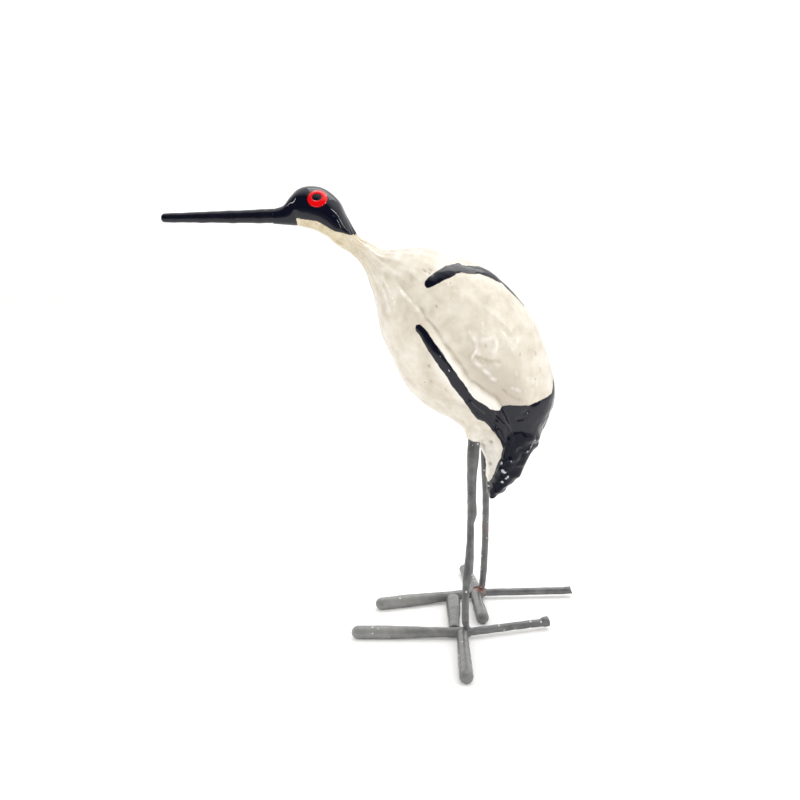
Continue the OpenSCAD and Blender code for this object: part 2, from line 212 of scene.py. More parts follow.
# Where the legs go in, the compound is pressed up round them in a rough collar
leg_lines = [([41.9, -10.1, 84.0], [40.2, -17.3, 43.4]), ([47.4, 10.2, 84.0], [48.0, 16.7, 43.4])]
collar_height = 3.4
collar_reach = 3.4
# The black is laid on thickly over the lower half of the tail. Its rim, as [angle, cut]
pour_rim = np.array([
    [0, 21.4], [24, 21.1], [50, 20.4], [63, 20.0], [77, 19.4], [89, 18.95], [98, 18.7], [110, 18.4],
    [118, 18.9], [124, 19.9], [150, 22.5], [180, 23.5],
])
pour_step = 0.6
pour_step_cuts = 0.25
pour_swell = 1.3
pour_swell_cuts = 2.2


def ease(share):
    share = np.clip(share, 0, 1)
    return share * share * (3 - 2 * share)


def smooth_rows(rows, t):
    """A smooth curve through the rows, counted from 0."""
    i = np.clip(np.floor(t).astype(int), 0, len(rows) - 2)
    f = (t - i)[..., None]
    a, b, c, d = (rows[np.clip(i + k, 0, len(rows) - 1)] for k in (-1, 0, 1, 2))
    bend = 2 * a - 5 * b + 4 * c - d
    twist = 3 * b - a - 3 * c + d
    return 0.5 * (2 * b + (c - a) * f + bend * f**2 + twist * f**3)


def body_skin(cut, angle):
    """Points of the smooth body. Angle 0 is the back, 180 the belly, and below 0 the right side."""
    row = smooth_rows(body_cuts, cut + 1)
    turn = np.radians(angle)
    middle = (row[..., 0:2] + row[..., 2:4]) / 2
    half = (row[..., 0:2] - row[..., 2:4]) / 2
    side = middle + half * np.cos(turn)[..., None]
    return np.stack([side[..., 0], -row[..., 4] * np.sin(turn), side[..., 1] + hip_height], -1)


def unevenness(points, size, seed=0):
    """Smooth random heights from about -1 to 1, with lumps of about that size."""
    moved = points.reshape(-1, 3) / size + seed
    values = np.array([noise.noise(Vector(p)) for p in moved])
    return values.reshape(points.shape[:-1])


def stroke_reach(line, x, h):
    """How far a point lies from a line of [X, height] points."""
    found = np.full(x.shape, 1e9)
    for a, b in zip(line[:-1], line[1:]):
        ax, ah = b[0] - a[0], b[1] - a[1]
        share = np.clip(((x - a[0]) * ax + (h - a[1]) * ah) / (ax * ax + ah * ah), 0, 1)
        found = np.minimum(found, np.hypot(x - a[0] - share * ax, h - a[1] - share * ah))
    return found


def places_reach(places, points):
    """How far points lie from a line of [cut, angle] places, which is on both sides of the bird."""
    line = np.array(places + places[-1:], float)
    line = body_skin(line[:, 0], line[:, 1])
    folded = np.stack([points[..., 0], -np.abs(points[..., 1]), points[..., 2]], -1)
    found = np.full(points.shape[:2], 1e9)
    for a, b in zip(line[:-1], line[1:]):
        step = b - a
        share = np.clip(((folded - a) @ step) / (step @ step + 1e-9), 0, 1)
        found = np.minimum(found, np.linalg.norm(folded - a - share[..., None] * step, axis=-1))
    return found


def outline_depth(outline, x, h):
    """How deep a point lies inside a closed outline, and below 0 how far outside it."""
    closed = np.vstack([outline, outline[:1]])
    inside = np.zeros(x.shape, bool)
    for a, b in zip(closed[:-1], closed[1:]):
        if a[1] != b[1]:
            level_x = a[0] + (h - a[1]) / (b[1] - a[1]) * (b[0] - a[0])
            inside ^= ((a[1] > h) != (b[1] > h)) & (x < level_x)
    reach = stroke_reach(closed, x, h)
    return np.where(inside, reach, -reach)


def oval_depth(centre, half, x, h):
    share = np.hypot((x - centre[0]) / half[0], (h - centre[1]) / half[1])
    return (1 - share) * min(half)


def outward(points):
    """Outward directions of a grid of rings."""
    around = np.roll(points, -1, 1) - np.roll(points, 1, 1)
    along = np.gradient(points, axis=0)
    across = np.cross(along, around)
    across /= np.linalg.norm(across, axis=-1, keepdims=True) + 1e-12
    away = points - points.mean(axis=1, keepdims=True)
    return across * np.sign((across * away).sum(-1).mean())


def ring_mesh(name, rings, masks=None):
    """A closed mesh from a grid of rings of points, with its paint masks as point values."""
    count, around = rings.shape[:2]
    corners = ((rings + bird_at) * 0.001).reshape(-1, 3)
    k = np.arange(around)
    faces = []
    for i in range(count - 1):
        a, b = i * around + k, i * around + (k + 1) % around
        faces.extend(np.stack([a, a + around, b + around, b], 1).tolist())
    faces.append(k.tolist())
    faces.append(((count - 1) * around + k[::-1]).tolist())
    mesh = bpy.data.meshes.new(name)
    mesh.from_pydata(corners.tolist(), [], faces)
    for mask, values in (masks or {}).items():
        layer = mesh.attributes.new(mask, "FLOAT", "POINT")
        layer.data.foreach_set("value", np.asarray(values, np.float32).ravel())
    mesh.polygons.foreach_set("use_smooth", np.ones(len(mesh.polygons), bool))
    mesh.validate()
    mesh.update()
    piece = bpy.data.objects.new(name, mesh)
    bpy.context.scene.collection.objects.link(piece)
    return piece


cuts = np.linspace(-1, 24, 25 * rings_per_cut + 1)
groove_at = np.interp(cuts, groove[:, 0], groove[:, 1])
even = np.linspace(0, 180, 721)
half_angles = []
for place in groove_at:
    near = np.exp(-(((even - place - crowd_below) / crowd_width) ** 2))
    crowd = np.cumsum(1 + crowd_more * near)
    crowd = (crowd - crowd[0]) / (crowd[-1] - crowd[0])
    half_angles.append(np.interp(np.linspace(0, 1, half_around + 1), crowd, even))
half_angles = np.array(half_angles)
angles = np.hstack([half_angles[:, :-1], -half_angles[:, :0:-1]])
cut_grid = np.repeat(cuts[:, None], angles.shape[1], 1)
smooth_form = body_skin(cut_grid, angles)
normals = outward(smooth_form)
x = smooth_form[..., 0]
h = smooth_form[..., 2] - hip_height

# Lumps of the compound, the groove and the ledge below it
below = np.abs(angles) - groove_at[:, None] + groove_wander * unevenness(smooth_form, 5.0, 0.7)
along_ledge = (ease((cuts - 9.5) / 3.5) * ease((20 - cuts) / 3))[:, None]
hollow = -groove_depth * np.exp(-((np.minimum(below, 0) / 9) ** 2)) * (1 - ease(below / ledge_rise))
ledge = ledge_height * ease(below / ledge_rise) * ease((ledge_rise + ledge_fall - below) / ledge_fall)
form = along_ledge * np.abs(np.sin(np.radians(angles))) * (hollow + ledge)
trunk = ease((cuts - 6) / 4)[:, None]
for height, more, breadth, seed in compound_lumps:
    form += (height + more * trunk) * unevenness(smooth_form, breadth, seed)
neck = (ease((cuts - 5.5) / 1.5) * ease((13 - cuts) / 4))[:, None]
drawn_out = np.stack([cut_grid * 0.55, angles / 13, np.zeros_like(x)], -1)
form += neck_streaks * neck * unevenness(drawn_out, 1.0, 2.3)
tail = ease((cuts - 18.3) / 2)[:, None]
form += tail_lumps * tail * unevenness(smooth_form, 3.6, 6.6)
past_rim = cut_grid - np.interp(np.abs(angles), pour_rim[:, 0], pour_rim[:, 1])
past_rim += 0.12 * unevenness(smooth_form, 2.5, 9.2)
poured = ease(past_rim / pour_step_cuts + 0.5)
pour = pour_step * poured + pour_swell * ease(past_rim / pour_swell_cuts)
form += pour * ease((24.3 - cuts) / 2.5)[:, None] * ease((np.abs(angles) - 15) / 45)
for top, foot in leg_lines:
    top, foot = np.array(top), np.array(foot)
    line = (foot - top) / np.linalg.norm(foot - top)
    away = smooth_form - top
    away = np.linalg.norm(away - (away @ line)[..., None] * line, axis=-1)
    low = ease((np.abs(angles) - 115) / 25)
    away *= 1 + 0.25 * unevenness(smooth_form, 3.0, 7.3)
    form += collar_height * low * np.exp(-((away / collar_reach) ** 4))
patchy = unevenness(smooth_form, 1.7, 14.0)
painted_ridge_highlight = np.zeros_like(x)
painted_crease_shade = np.zeros_like(x)
for places, radius, height in marks:
    near = np.exp(-((places_reach(places, smooth_form) / radius) ** 2))
    form += height * near
    line = near**2 * (0.75 + 0.9 * patchy)
    # Narrow marks get a painted highlight along a ridge and painted shade along a crease
    if radius < broad_mark and height > 0:
        painted_ridge_highlight = np.maximum(painted_ridge_highlight, line * height / full_mark)
    elif radius < broad_mark:
        painted_crease_shade = np.maximum(painted_crease_shade, line * -height / full_mark)
# Painted highlights: a mask of pale spots that stand in for points of light on the black gloss
painted_glints = np.zeros_like(x)
for glint_x, glint_h, radius in painted_glint_spots:
    away = np.hypot(x - glint_x, h - glint_h) * (1 + 0.4 * patchy)
    painted_glints = np.maximum(painted_glints, np.exp(-((away / radius) ** 4)))
pitted = np.zeros_like(x)
for cut, angle, radius in pits:
    near = np.exp(-((places_reach([[cut, angle]], smooth_form) / radius) ** 2))
    form -= pit_depth * near
    pitted = np.maximum(pitted, near)

# Coats of paint, with edges that wander as a hand does
wander = unevenness(smooth_form, 3.4, 1.9) + 0.5 * unevenness(smooth_form, 1.3, 4.2)
black = outline_depth(cap_outline, x, h + 0.4 * ease((-9 - x) / 9) - 0.5 * ease((x + 12) / 4))
off_middle = np.abs(smooth_form[..., 1]) - stripe_gap
black = np.maximum(black, np.minimum(outline_depth(shoulder_outline, x, h), off_middle))
stroke_spread = 0.5 * ease((48 - x) / 4)
black = np.maximum(black, outline_depth(wing_and_tail_outline, x, h) + stroke_spread)
black = black + paint_wander * wander
ring = oval_depth(eye_centre, eye_half, x, h)
ring = np.minimum(ring, -oval_depth(pupil_centre, pupil_half, x, h)) + 0.12 * wander
form += paint_step * (1 - np.exp(-np.maximum(black + 0.1, 0) / paint_slope))
form += eye_step * ease(ring / 0.8 + 0.3)
# Painted shade: a dark line along the groove under each wing. The pits are made darker as well
groove_line = along_ledge * np.exp(-(((below + 0.8) / 1.6) ** 2))
groove_shade_and_pits = np.clip(groove_line * 0.35 * (1 + 0.8 * wander) + 0.7 * pitted, 0, 1)
throat = ease((9.5 - cuts) / 5)[:, None] * np.ones_like(x)
# Painted light: a pale band on the ledge under each wing, and paler cream under the tail, where light
# falls on them
band = ease((cuts - 13.1) / 0.8)[:, None] * ease((below - 1.5) / 2) * ease((24 - below) / 12)
under_tail = 0.75 * ease((cuts - 17) / 1.5)[:, None] * ease((np.abs(angles) - 120) / 15)
band = np.maximum(band, under_tail * (1 + 0.5 * patchy))
# Painted shade: the wing darkens towards its lower edge, mixed with darker patches at random
painted_wing_shade_and_mottle = ease((cuts - 13.5) / 3)[:, None] * np.exp(-(((below + 9) / 19) ** 2)) * (below < 1)
painted_wing_shade_and_mottle = np.clip(1.1 * painted_wing_shade_and_mottle + 0.35 * unevenness(smooth_form, 9.0, 12.0), 0, 1)

body_piece = ring_mesh(
    "painted_body",
    smooth_form + normals * form[..., None],
    {"black_paint": black, "red_paint": ring, "groove_shade_and_pits": groove_shade_and_pits, "throat": throat, "painted_light_band": band,
     "painted_wing_shade_and_mottle": painted_wing_shade_and_mottle, "painted_ridge_highlight": painted_ridge_highlight, "painted_crease_shade": painted_crease_shade, "poured": poured,
     "painted_glints": painted_glints},
)


def colour(red, green, blue):
    """A colour as it is seen, from 0 to 255, in the scene's linear light."""
    return tuple((c / 255) ** 2.2 for c in (red, green, blue)) + (1.0,)


def add_node(tree, kind, values=None, **settings):
    node = tree.nodes.new(kind)
    for name, value in settings.items():
        setattr(node, name, value)
    for socket, value in (values or {}).items():
        node.inputs[socket].default_value = value
    return node


# Brushed and dripped paint is never even: it is used on the body, the bill, the wire and the weld
uneven_paint = bpy.data.node_groups.new("uneven paint", "ShaderNodeTree")
uneven_paint.interface.new_socket("Scale", in_out="INPUT", socket_type="NodeSocketFloat")
uneven_paint.interface.new_socket("Fine Scale", in_out="INPUT", socket_type="NodeSocketFloat")
uneven_paint.interface.new_socket("Shade", in_out="OUTPUT", socket_type="NodeSocketFloat")
uneven_paint.interface.new_socket("Height", in_out="OUTPUT", socket_type="NodeSocketFloat")
group_in = add_node(uneven_paint, "NodeGroupInput")
group_out = add_node(uneven_paint, "NodeGroupOutput")
place = add_node(uneven_paint, "ShaderNodeTexCoord")
broad = add_node(uneven_paint, "ShaderNodeTexNoise", {"Detail": 3.0, "Roughness": 0.55})
fine = add_node(uneven_paint, "ShaderNodeTexNoise", {"Detail": 2.0, "Roughness": 0.5})
contrast = add_node(uneven_paint, "ShaderNodeMapRange", {"From Min": 0.32, "From Max": 0.68})
both = add_node(uneven_paint, "ShaderNodeMath", {1: 0.35}, operation="MULTIPLY_ADD")
uneven_paint.links.new(place.outputs["Object"], broad.inputs["Vector"])
uneven_paint.links.new(place.outputs["Object"], fine.inputs["Vector"])
uneven_paint.links.new(group_in.outputs["Scale"], broad.inputs["Scale"])
uneven_paint.links.new(group_in.outputs["Fine Scale"], fine.inputs["Scale"])
uneven_paint.links.new(broad.outputs["Fac"], contrast.inputs["Value"])
uneven_paint.links.new(contrast.outputs["Result"], group_out.inputs["Shade"])
uneven_paint.links.new(fine.outputs["Fac"], both.inputs[0])
uneven_paint.links.new(broad.outputs["Fac"], both.inputs[2])
uneven_paint.links.new(both.outputs["Value"], group_out.inputs["Height"])

# Pinholes and grit caught in the paint, on the body and on the wire
specks = bpy.data.node_groups.new("specks", "ShaderNodeTree")
specks.interface.new_socket("Scale", in_out="INPUT", socket_type="NodeSocketFloat")
specks.interface.new_socket("Size", in_out="INPUT", socket_type="NodeSocketFloat")
specks.interface.new_socket("Mask", in_out="OUTPUT", socket_type="NodeSocketFloat")
group_in = add_node(specks, "NodeGroupInput")
group_out = add_node(specks, "NodeGroupOutput")
place = add_node(specks, "ShaderNodeTexCoord")
cells = add_node(specks, "ShaderNodeTexVoronoi", {"Randomness": 1.0})
closer = add_node(specks, "ShaderNodeMath", operation="LESS_THAN")
pick = add_node(specks, "ShaderNodeSeparateColor")
few = add_node(specks, "ShaderNodeMath", {1: 0.82}, operation="GREATER_THAN")
chosen = add_node(specks, "ShaderNodeMath", operation="MULTIPLY")
specks.links.new(place.outputs["Object"], cells.inputs["Vector"])
specks.links.new(group_in.outputs["Scale"], cells.inputs["Scale"])
specks.links.new(cells.outputs["Distance"], closer.inputs[0])
specks.links.new(group_in.outputs["Size"], closer.inputs[1])
specks.links.new(cells.outputs["Color"], pick.inputs["Color"])
specks.links.new(pick.outputs["Red"], few.inputs[0])
specks.links.new(closer.outputs["Value"], chosen.inputs[0])
specks.links.new(few.outputs["Value"], chosen.inputs[1])
specks.links.new(chosen.outputs["Value"], group_out.inputs["Mask"])


def new_material(name, values):
    """A material with the constant values of its one shader."""
    material = bpy.data.materials.new(name)
    material.use_nodes = True
    tree = material.node_tree
    shader = tree.nodes["Principled BSDF"]
    for socket, value in values.items():
        shader.inputs[socket].default_value = value
    return material, tree, shader


def add_group(tree, group, values):
    return add_node(tree, "ShaderNodeGroup", values, node_tree=group)


def add_mix(tree, factor, first, second, blend="MIX"):
    """Mixes two colours, each a socket or a fixed colour."""
    node = add_node(tree, "ShaderNodeMix", data_type="RGBA", blend_type=blend)
    for socket, value in {"Factor": factor, "A": first, "B": second}.items():
        if isinstance(value, bpy.types.NodeSocket):
            tree.links.new(value, node.inputs[socket])
        else:
            node.inputs[socket].default_value = value
    return node.outputs["Result"]


body_material, tree, shader = new_material("lacquered body paint", {"IOR": 1.5})
mottle = add_group(tree, uneven_paint, {"Scale": 95.0, "Fine Scale": 600.0})
blotch = add_group(tree, uneven_paint, {"Scale": 260.0, "Fine Scale": 1500.0})
pinholes = add_group(tree, specks, {"Scale": 300.0, "Size": 0.09})
mask_of = {}
mask_ranges = {
    "black_paint": (-0.12, 0.12), "red_paint": (-0.1, 0.1), "groove_shade_and_pits": (0, 1), "throat": (0, 1),
    "painted_light_band": (0, 1), "painted_wing_shade_and_mottle": (0, 1), "painted_ridge_highlight": (0.1, 1), "painted_crease_shade": (0.1, 1),
    "poured": (0, 1), "painted_glints": (0.3, 0.7),
}
for mask, (low, high) in mask_ranges.items():
    field = add_node(tree, "ShaderNodeAttribute", attribute_name=mask)
    sharp = add_node(tree, "ShaderNodeMapRange", {"From Min": low, "From Max": high})
    tree.links.new(field.outputs["Fac"], sharp.inputs["Value"])
    mask_of[mask] = sharp.outputs["Result"]
cream = add_mix(tree, mottle.outputs["Shade"], colour(222, 212, 195), colour(243, 237, 225))
dusky = add_mix(tree, mottle.outputs["Shade"], colour(205, 194, 176), colour(236, 229, 215))
cream = add_mix(tree, blotch.outputs["Shade"], dusky, cream)
tan = add_mix(tree, blotch.outputs["Shade"], colour(198, 180, 144), colour(230, 219, 191))
# Painted shade on the lower wing, with random darker patches
cream = add_mix(tree, mask_of["painted_wing_shade_and_mottle"], cream, colour(202, 192, 178))
cream = add_mix(tree, mask_of["throat"], cream, tan)
# Painted light: whiter on the ledge under the wing and under the tail
cream = add_mix(tree, mask_of["painted_light_band"], cream, colour(248, 244, 236))
# Painted highlight: white along the narrow ridges
cream = add_mix(tree, mask_of["painted_ridge_highlight"], cream, colour(252, 249, 242))
# Painted shade: brown along the narrow creases
cream = add_mix(tree, mask_of["painted_crease_shade"], cream, colour(172, 157, 134))
cream = add_mix(tree, pinholes.outputs["Mask"], cream, colour(170, 158, 138))
# Painted shade along the groove under the wings, and the pits darker
cream = add_mix(tree, mask_of["groove_shade_and_pits"], cream, colour(128, 112, 92))
marked = add_mix(tree, mask_of["black_paint"], cream, colour(20, 22, 35))
# Painted highlights: pale spots on the black, in place of points of light
marked = add_mix(tree, mask_of["painted_glints"], marked, colour(206, 208, 216))
marked = add_mix(tree, mask_of["red_paint"], marked, colour(222, 18, 24))
tree.links.new(marked, shader.inputs["Base Color"])
smoother = add_node(tree, "ShaderNodeMapRange", {"To Min": 0.16, "To Max": 0.05})
tree.links.new(mask_of["black_paint"], smoother.inputs["Value"])
tree.links.new(smoother.outputs["Result"], shader.inputs["Roughness"])
dimmer = add_node(tree, "ShaderNodeMapRange", {"To Min": 0.5, "To Max": 0.2})
tree.links.new(mask_of["poured"], dimmer.inputs["Value"])
tree.links.new(dimmer.outputs["Result"], shader.inputs["Specular IOR Level"])
flatter = add_node(tree, "ShaderNodeMapRange", {"To Min": 1.0, "To Max": 0.15})
levelled = add_node(tree, "ShaderNodeMath", operation="MULTIPLY")
relief = add_node(tree, "ShaderNodeBump", {"Strength": 0.7, "Distance": 0.0003})
tree.links.new(mask_of["black_paint"], flatter.inputs["Value"])
tree.links.new(flatter.outputs["Result"], levelled.inputs[0])
tree.links.new(mottle.outputs["Height"], levelled.inputs[1])
tree.links.new(levelled.outputs["Value"], relief.inputs["Height"])
tree.links.new(relief.outputs["Normal"], shader.inputs["Normal"])
body_piece.data.materials.append(body_material)
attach(body_piece, "root")
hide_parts("body")

# The bill. A tapered metal rod pushed into the head, in the same black gloss, which has run and
# gathered in soft lumps along its underside.
bill_root = np.array([-29.75, 0, 179.5])
bill_length = 61.2
bill_rise = 1
bill_root_r = 3.4
bill_tip_r = 1.9
bill_sides = 48
straight_rings = 120
end_share = 0.025
end_turns = np.linspace(0.1, 1.5, 10)
# Where paint has gathered below, as share of the length and height
run_lumps = [[0.17, 0.25], [0.33, 0.12], [0.5, 0.22], [0.72, 0.12]]
run_width = 0.03


def tube(path, radii, sides, first_side, roughness=0.0, size=3.0, seed=0.0):
    """Rings of points along a path, one radius at each, swollen a little here and there."""
    rings = []
    ahead = np.gradient(path, axis=0)
    ahead /= np.linalg.norm(ahead, axis=1, keepdims=True)
    turns = np.linspace(0, 2 * np.pi, sides, endpoint=False)
    for point, direction, radius in zip(path, ahead, radii):
        up = np.cross(direction, first_side)
        up /= np.linalg.norm(up)
        side = np.cross(up, direction)
        rings.append(point + radius * (np.cos(turns)[:, None] * up + np.sin(turns)[:, None] * side))
    rings = np.array(rings)
    if roughness:
        swell = 1 + roughness * unevenness(rings, size, seed)
        rings = path[:, None] + (rings - path[:, None]) * swell[..., None]
    return rings


back_along = np.array([-math.cos(math.radians(bill_rise)), 0, -math.sin(math.radians(bill_rise))])
straight_share = np.linspace(0, 1 - end_share, straight_rings)
share = np.concatenate([straight_share, 1 - end_share * (1 - np.sin(end_turns))])
bill_path = bill_root + back_along * (share * bill_length)[:, None]
bill_radii = bill_root_r + (bill_tip_r - bill_root_r) * share
bill_radii[straight_rings:] *= 0.35 + 0.65 * np.cos(end_turns)
bill_rings = tube(bill_path, bill_radii, bill_sides, np.array([0, 1.0, 0]), 0.05, 4.0, 2.0)
underside = np.clip(-(bill_rings[..., 2] - bill_path[:, None, 2]) / bill_root_r, 0, 1)
for place, height in run_lumps:
    bill_rings[..., 2] -= height * underside * np.exp(-(((share - place) / run_width) ** 2))[:, None]
bill_piece = ring_mesh("bill_rod", bill_rings)
bill_material, tree, shader = new_material("black bill gloss", {"Roughness": 0.1, "IOR": 1.5})
mottle = add_group(tree, uneven_paint, {"Scale": 240.0, "Fine Scale": 900.0})
black_gloss = add_mix(tree, mottle.outputs["Shade"], colour(17, 18, 29), colour(28, 29, 40))
tree.links.new(black_gloss, shader.inputs["Base Color"])
relief = add_node(tree, "ShaderNodeBump", {"Strength": 0.3, "Distance": 0.0003})
tree.links.new(mottle.outputs["Height"], relief.inputs["Height"])
tree.links.new(relief.outputs["Normal"], shader.inputs["Normal"])
bill_piece.data.materials.append(bill_material)
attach(bill_piece, "root")
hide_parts("bill")

# The legs. Each is one steel wire from its hole in the belly down to the ankle, bent there and
# run out behind as the hind toe. Grey paint has run down them and set in thick drips.
wire_r = 1.3
hind_r = 1.7
leg_seat = 10
bend_r = 3.2
toe_height = 2.83
ankles = {"left": np.array([38.5, -24.5, toe_height]), "right": np.array([48.5, 23.3, toe_height])}
hips = {"left": np.array([41.8, -10, 84.0]), "right": np.array([47.5, 10, 84.0])}
hind_turn = {"left": 17, "right": 3}
hind_length = {"left": 38.5, "right": 43}
hind_end = {"left": -0.15, "right": -0.4}
hind_knob = {"left": 0.55, "right": 0.05}
hind_lift = {"left": 0.5, "right": 0.4}
wire_sides = 28
bend_steps = 9
up = np.array([0, 0, 1.0])
# Rust has come through on the right foot, and a trace of it higher on that leg. As place, reach
# and strength
rust_spots = [([46.6, 22.4, 4.4], 2.3, 1.4), ([49.6, 17.7, 37.0], 1.8, 0.5)]
# Share of the height, bow along X and thickness of paint
leg_rows = {
    "left": np.array([
        [0.045, -0.4, 0.25], [0.12, -0.8, 0.3], [0.2, -0.9, 0.25], [0.25, -0.7, 0.3],
        [0.275, -0.5, 0.75], [0.315, -0.2, 0.85], [0.39, 0.2, 0.6], [0.48, 0.2, 0.35],
        [0.57, 0, 0.2], [0.62, 0.5, 0.8], [0.73, -0.1, 0.65], [0.83, -0.3, 0.85],
        [0.92, -0.1, 1.35], [1.0, 0, 1.35],
    ]),
    "right": np.array([
        [0.045, 0.3, 0.2], [0.12, 0.8, 0.25], [0.2, 1.1, 0.3], [0.33, 1.4, 0.25], [0.49, 1.5, 0.25],
        [0.63, 1.4, 0.25], [0.75, 0.5, 0], [0.88, 0.1, 0.05], [1.0, 0, 0],
    ]),
}
wire_coat = {"Coat Weight": 0.4, "Coat Roughness": 0.12}
wire_material, tree, shader = new_material("grey wire paint", wire_coat)
mottle = add_group(tree, uneven_paint, {"Scale": 190.0, "Fine Scale": 850.0})
grit = add_group(tree, specks, {"Scale": 420.0, "Size": 0.2})
grey = add_mix(tree, mottle.outputs["Shade"], colour(84, 85, 86), colour(112, 113, 113))
pale_grey = add_mix(tree, mottle.outputs["Shade"], colour(126, 127, 126), colour(150, 150, 147))
gathered = add_node(tree, "ShaderNodeAttribute", attribute_name="gathered")
grey = add_mix(tree, gathered.outputs["Fac"], grey, pale_grey)
grey = add_mix(tree, grit.outputs["Mask"], grey, colour(200, 200, 197))
rust_field = add_node(tree, "ShaderNodeAttribute", attribute_name="rust")
rusty = add_node(tree, "ShaderNodeMath", operation="MULTIPLY")
tree.links.new(rust_field.outputs["Fac"], rusty.inputs[0])
tree.links.new(mottle.outputs["Shade"], rusty.inputs[1])
grey = add_mix(tree, rusty.outputs["Value"], grey, colour(172, 88, 48))
tree.links.new(grey, shader.inputs["Base Color"])
duller = add_node(tree, "ShaderNodeMapRange", {"To Min": 0.3, "To Max": 0.46})
tree.links.new(mottle.outputs["Shade"], duller.inputs["Value"])
tree.links.new(duller.outputs["Result"], shader.inputs["Roughness"])
relief = add_node(tree, "ShaderNodeBump", {"Strength": 0.9, "Distance": 0.0005})
tree.links.new(mottle.outputs["Height"], relief.inputs["Height"])
tree.links.new(relief.outputs["Normal"], shader.inputs["Normal"])


def rust_near(points):
    rust = np.zeros(points.shape[:2])
    for place, reach, strength in rust_spots:
        away = np.linalg.norm(points - np.array(place), axis=-1)
        rust = np.maximum(rust, strength * np.exp(-((away / reach) ** 2)))
    return rust


for side in ("left", "right"):
    foot, line, rows = ankles[side], hips[side] - ankles[side], leg_rows[side]
    turn = math.radians(hind_turn[side])
    heading = np.array([math.cos(turn), math.sin(turn), 0])
    height = np.linspace(1, 0.05, 150)
    bow = np.interp(height, rows[:, 0], rows[:, 1])
    shaft = foot + line * height[:, None] + bow[:, None] * np.array([1.0, 0, 0])
    seat = foot + line * (1 + leg_seat / np.linalg.norm(line))
    bends = np.radians(np.linspace(0, 90, bend_steps))[:, None]
    bend = foot + bend_r * (1 - np.cos(bends)) * heading + bend_r * (1 - np.sin(bends)) * up
    out = np.linspace(0.15, 1, 60)[:, None]
    end = ease((out - 0.9) / 0.05)
    hind = foot + heading * hind_length[side] * out + up * hind_lift[side] * (0.5 * out + 0.5 * end)
    path = np.vstack([seat, shaft, bend, hind])
    paint = np.interp(height, rows[:, 0], rows[:, 2])
    swing = np.linspace(wire_r, hind_r, bend_steps)
    knob = hind_r + hind_knob[side] * end[:, 0]
    radii = np.concatenate([[wire_r + paint[0]], wire_r + paint, swing, knob])
    rings = tube(path, radii, wire_sides, np.array([-heading[1], heading[0], 0]), 0.07, 3.2, 3.0)
    rings[-1] += heading * ((rings[-1][:, 2:3] - foot[2]) * hind_end[side])
    leg_piece = ring_mesh(side + "_leg_wire", rings, {"rust": rust_near(rings)})
    leg_piece.data.materials.append(wire_material)
    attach(leg_piece, "root")
    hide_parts(side + "_leg")

# The toes. Short rods welded to the wire at each ankle, dipped in the same grey paint, which has
# gathered round their free ends. Only these thick ends touch the floor.
front_root_r = 2.2
cross_root_r = 2.5
tip_r = 2.9
slim_tip_r = 2.7
front_set_back = 1.35
toe_gap = 0.05
toe_sides = 32
toe_rings = 90
# The lumps stand out from a rod that is a little slimmer than the solid, and a tip that hangs
# above the floor is lowered until its lumps reach it
slimmer = 0.985
tip_seat = 0.975
foot_turn = {"left": 0, "right": 17}
shorter_by = {"front": -0.4, "inner": 0.1, "outer": 0.55}
# Foot, name, angle from the line of the front toe, place along it, length, radius at the tip
toes = [
    ("left", "front", 180, None, 49, tip_r),
    ("left", "outer", -91, 1.8, 45, tip_r),
    ("left", "inner", 88, 5, 38.5, 3.3),
    ("right", "front", 180, None, 51.5, tip_r),
    ("right", "outer", 81, 1, 34, slim_tip_r),
    ("right", "inner", -104.5, 4, 30.5, tip_r),
]


def level(angle):
    return np.array([math.cos(math.radians(angle)), math.sin(math.radians(angle)), 0])


for number, (side, name, angle, at, length, end_r) in enumerate(toes):
    turn = foot_turn[side]
    heading = level(angle + turn)
    foot = ankles[side]
    if at is None:
        root_r = front_root_r
        start = foot - level(turn) * front_set_back
        length -= front_set_back
    else:
        root_r = cross_root_r
        aside = front_root_r + cross_root_r * abs(math.cos(math.radians(angle))) + toe_gap
        aside = math.copysign(aside, math.sin(math.radians(angle)))
        start = foot - level(turn) * at + level(turn + 90) * aside
    straight = length - end_r - shorter_by[name]
    share = np.linspace(0, 1, toe_rings)
    swell = ease((share - 0.15) / 0.65)
    turns = np.radians(np.linspace(8, 88, 11))
    along = np.concatenate([share * straight, straight + end_r * np.sin(turns)])
    radii = np.concatenate([root_r + (end_r - root_r) * swell, end_r * np.cos(turns)])
    sink = min(0, end_r * tip_seat - toe_height)
    drop = sink * np.concatenate([swell, np.ones(len(turns))])
    path = start + heading * (along - toe_gap)[:, None] + drop[:, None] * up
    rings = tube(path, radii * slimmer, toe_sides, np.array([-heading[1], heading[0], 0]))
    lumps = unevenness(rings, 5.0, 1.3 * number) + 0.5 * unevenness(rings, 2.2, 2.7 * number)
    keep = np.concatenate([np.ones(toe_rings), np.linspace(0.9, 0, len(turns))])[:, None]
    rings = path[:, None] + (rings - path[:, None]) * (1 + 0.05 * keep * lumps)[..., None]
    rings[..., 2] = np.maximum(rings[..., 2], 0.0)
    gathered = (0.9 if at is None else 0.2) * (0.35 + 0.65 * ease(along / length))
    gathered = np.repeat(gathered[:, None], rings.shape[1], 1)
    masks = {"rust": rust_near(rings), "gathered": gathered}
    toe_piece = ring_mesh(f"{side}_{name}_toe_rod", rings, masks)
    toe_piece.data.materials.append(wire_material)
    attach(toe_piece, "root")
    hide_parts(f"{side}_{name}_toe")

